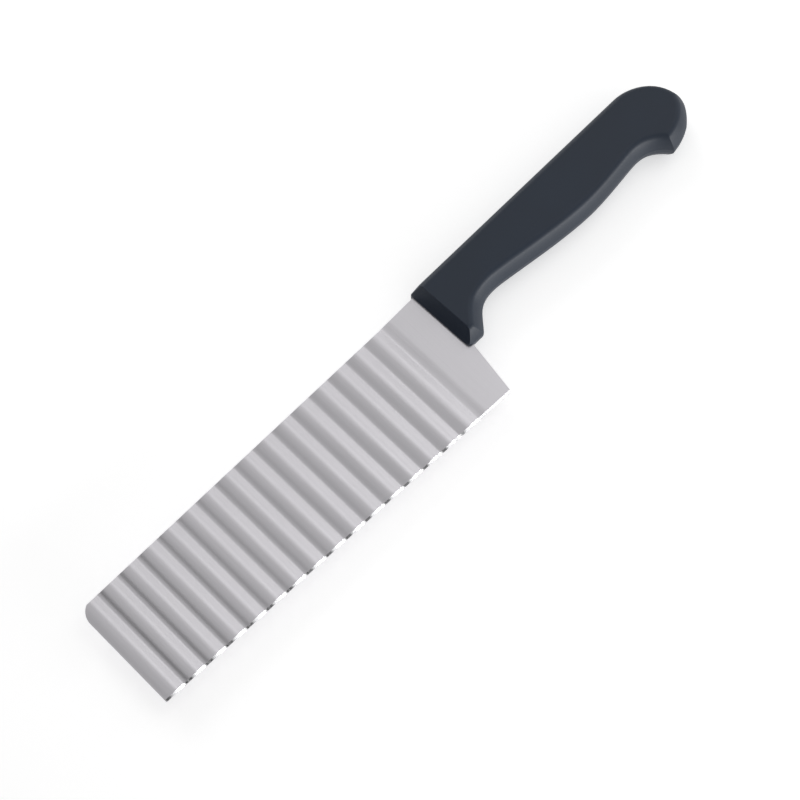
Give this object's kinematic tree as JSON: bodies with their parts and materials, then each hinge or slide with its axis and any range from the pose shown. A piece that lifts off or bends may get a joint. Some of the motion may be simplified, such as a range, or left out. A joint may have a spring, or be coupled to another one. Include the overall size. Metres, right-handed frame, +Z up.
{
  "type": "crinkle cutter",
  "caption": "Crinkle-cutting kitchen knife: a broad corrugated stainless blade with a wavy ground edge and a flat heel, set in a contoured one-piece plastic handle.",
  "frame": {"origin": "middle of the knife's box in X and Y, on the surface that the side of the handle rests on", "axes": "+X from the tip to the butt, +Y from the cutting edge to the spine, +Z up, out of the side with the ground edge"},
  "size_m": [0.29, 0.052, 0.015],
  "materials": {
    "blade_steel": "satin",
    "handle_plastic": "fine moulded satin"
  },
  "bodies": {
    "root": {"blade": "blade_steel", "handle": "handle_plastic"}
  },
  "joints": []
}
